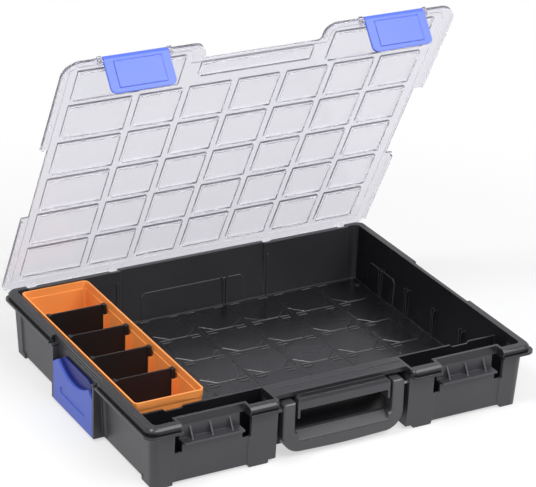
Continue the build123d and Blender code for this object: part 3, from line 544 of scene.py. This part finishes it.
def finish_piece(shape, name, finish, slot, body):
    """Turns a bmesh into a piece of the object with a finish, which rides on a body."""
    bmesh.ops.recalc_face_normals(shape, faces=shape.faces[:])
    mesh = bpy.data.meshes.new(name)
    shape.to_mesh(mesh)
    shape.free()
    mesh.materials.append(finish)
    piece = bpy.data.objects.new(name, mesh)
    bpy.context.scene.collection.objects.link(piece)
    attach(piece, body)
    return piece


print("helpers", [helper.__name__ for helper in (add_block, bevel_all, finish_piece)])

# %% Locating bars
MODULE = 54 * MM
FIELD_COLUMNS, FIELD_ROWS = 6, 5
FIELD_RIGHT, FIELD_BACK = INSIDE_HALF_WIDTH, 154.54 * MM
ROOT_DEPTH = 0.3 * MM
BAR_START, BAR_END = 4.0 * MM, 15.5 * MM
BAR_OFFSET = 2.5 * MM
BAR_WIDTH, BAR_HEIGHT, BAR_BEVEL = 1.8 * MM, 1.0 * MM, 0.6 * MM


def bar_rows(row):
    """Where bars lie at a row's crossings: before and behind them, but only inwards at the walls."""
    if row == 0:
        return (-1,)
    if row == FIELD_ROWS:
        return (1,)
    return (-1, 1)


bars = bmesh.new()
for column in range(1, FIELD_COLUMNS):
    x = FIELD_RIGHT - column * MODULE
    for row in range(FIELD_ROWS + 1):
        for backwards in bar_rows(row):
            y = FIELD_BACK - row * MODULE + backwards * BAR_OFFSET
            for sideways in (-1, 1):
                left, right = sorted((x + sideways * BAR_START, x + sideways * BAR_END))
                add_block(
                    bars,
                    (left, y - BAR_WIDTH / 2, INSIDE_FLOOR - ROOT_DEPTH),
                    (right, y + BAR_WIDTH / 2, INSIDE_FLOOR + BAR_HEIGHT),
                )
bevel_all(bars, BAR_BEVEL)
locating_bars = finish_piece(bars, "locating_bars", tub_black, "tub_black", "case")
print("locating bars", len(locating_bars.data.polygons), "faces")

# %% [markdown]
# ## Seams of the floor grid
# Fine lines run from back to front along the grid. Each is a low ridge that the mould's joints leave
# between the pads. A bump in the material could draw them, but a real ridge is there from every side.

# %% Grid seams
SEAM_WIDTH, SEAM_HEIGHT, SEAM_BEVEL = 0.9 * MM, 0.45 * MM, 0.2 * MM
SEAM_MARGIN = 2.0 * MM
seams = bmesh.new()
for column in range(1, FIELD_COLUMNS):
    x = FIELD_RIGHT - column * MODULE
    add_block(
        seams,
        (x - SEAM_WIDTH / 2, FIELD_BACK - FIELD_ROWS * MODULE + SEAM_MARGIN, INSIDE_FLOOR - ROOT_DEPTH),
        (x + SEAM_WIDTH / 2, FIELD_BACK - SEAM_MARGIN, INSIDE_FLOOR + SEAM_HEIGHT),
    )
bevel_all(seams, SEAM_BEVEL)
grid_seams = finish_piece(seams, "grid_seams", tub_black, "tub_black", "case")
print("grid seams", len(grid_seams.data.polygons), "faces")

# %% [markdown]
# ## The gate mark
# Plastic enters the mould through a small gate, here in the back corner of the floor, and leaves a round
# button with a dimple. Stacked cylinders could make it, but a button is a turned shape, so its half profile
# is spun once round its axis.

# %% Gate mark
GATE = Vector((192 * MM, 136.2 * MM, INSIDE_FLOOR))
GATE_RADIUS, GATE_HEIGHT, GATE_DIMPLE = 3.2 * MM, 1.4 * MM, 0.5 * MM
SHOULDER_SHARE, CROWN_SHARE = 0.7, 0.85
DIMPLE_EDGE_SHARE, DIMPLE_FLOOR_SHARE = 0.55, 0.4
GATE_STEPS, FULL_TURN = 28, radians(360)
MERGE_REACH = 0.01 * MM
profile = [
    (0.0, -ROOT_DEPTH),
    (GATE_RADIUS, -ROOT_DEPTH),
    (GATE_RADIUS, GATE_HEIGHT * SHOULDER_SHARE),
    (GATE_RADIUS * CROWN_SHARE, GATE_HEIGHT),
    (GATE_RADIUS * DIMPLE_EDGE_SHARE, GATE_HEIGHT),
    (GATE_RADIUS * DIMPLE_FLOOR_SHARE, GATE_HEIGHT - GATE_DIMPLE),
    (0.0, GATE_HEIGHT - GATE_DIMPLE),
]
button = bmesh.new()
points = [button.verts.new(GATE + Vector((reach, 0, height))) for reach, height in profile]
outline = [button.edges.new(pair) for pair in zip(points, points[1:])]
bmesh.ops.spin(button, geom=points + outline, cent=GATE, axis=(0, 0, 1), angle=FULL_TURN, steps=GATE_STEPS,
               use_merge=True)
bmesh.ops.remove_doubles(button, verts=button.verts[:], dist=MERGE_REACH)
gate_mark = finish_piece(button, "gate_mark", tub_black, "tub_black", "case")
print("gate mark", len(gate_mark.data.polygons), "faces")

# %% [markdown]
# ## Beads under the hinges
# Where the back wall is thickened for a hinge, its inside stands upright, and a thin bead runs down it to the
# floor. Each bead is a slim bevelled block. It could be drawn in the material, but a real bead has edges, and
# the edge mask paints them paler with a painted highlight, as it does the other edges of the tub.

# %% Hinge beads
BEAD_PLACE, BEAD_TOP = 89.5 * MM, 56 * MM
BEAD_WIDTH, BEAD_RISE, BEAD_ROOT, BEAD_BEVEL = 2.0 * MM, 1.0 * MM, 0.5 * MM, 0.3 * MM
beads = bmesh.new()
for sideways in (-1, 1):
    x = sideways * BEAD_PLACE
    add_block(
        beads,
        (x - BEAD_WIDTH / 2, INSIDE_BACK - BEAD_RISE, INSIDE_FLOOR - ROOT_DEPTH),
        (x + BEAD_WIDTH / 2, INSIDE_BACK + BEAD_ROOT, BEAD_TOP),
    )
bevel_all(beads, BEAD_BEVEL)
hinge_beads = finish_piece(beads, "hinge_beads", tub_black, "tub_black", "case")
print("hinge beads", len(hinge_beads.data.polygons), "faces")
